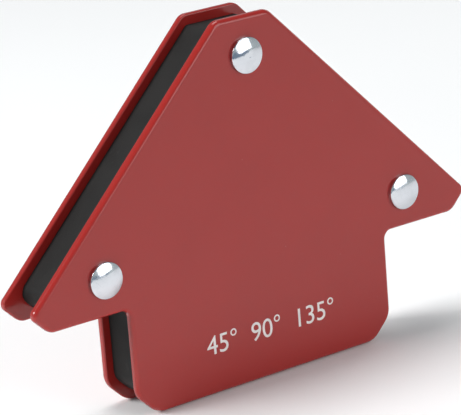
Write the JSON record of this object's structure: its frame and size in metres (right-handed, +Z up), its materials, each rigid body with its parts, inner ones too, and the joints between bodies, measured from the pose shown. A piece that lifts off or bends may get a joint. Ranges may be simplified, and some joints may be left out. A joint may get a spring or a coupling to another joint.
{
  "type": "magnetic welding holder",
  "caption": "Arrow-shaped magnetic holder with riveted steel pole plates that hold steel workpieces at 45, 90 and 135 degrees for welding.",
  "frame": {"origin": "middle of the base, halfway between the two plates", "axes": "+X to the right along the base, +Z up towards the top, the front plate faces -Y"},
  "size_m": [0.1188, 0.0172, 0.0825],
  "materials": {
    "plate_paint": "satin-gloss red powder coat over punched steel sheet",
    "core_plastic": "matt black moulding with a fine grain",
    "rivet_steel": "bright plated steel",
    "ferrite": "ground ferrite, dark grey",
    "sleeve_aluminium": "plain cut tube",
    "marking_ink": "pad-printed ink, off-white"
  },
  "bodies": {
    "root": {"core_frame": "core_plastic", "front_plate": "plate_paint", "magnet_base_left": "ferrite", "magnet_base_right": "ferrite", "magnet_centre": "ferrite", "magnet_left_slope": "ferrite", "magnet_right_slope": "ferrite", "rear_plate": "plate_paint", "rivet_left": "rivet_steel", "rivet_right": "rivet_steel", "rivet_top": "rivet_steel", "sleeve_left": "sleeve_aluminium", "sleeve_right": "sleeve_aluminium", "sleeve_top": "sleeve_aluminium"}
  },
  "joints": []
}
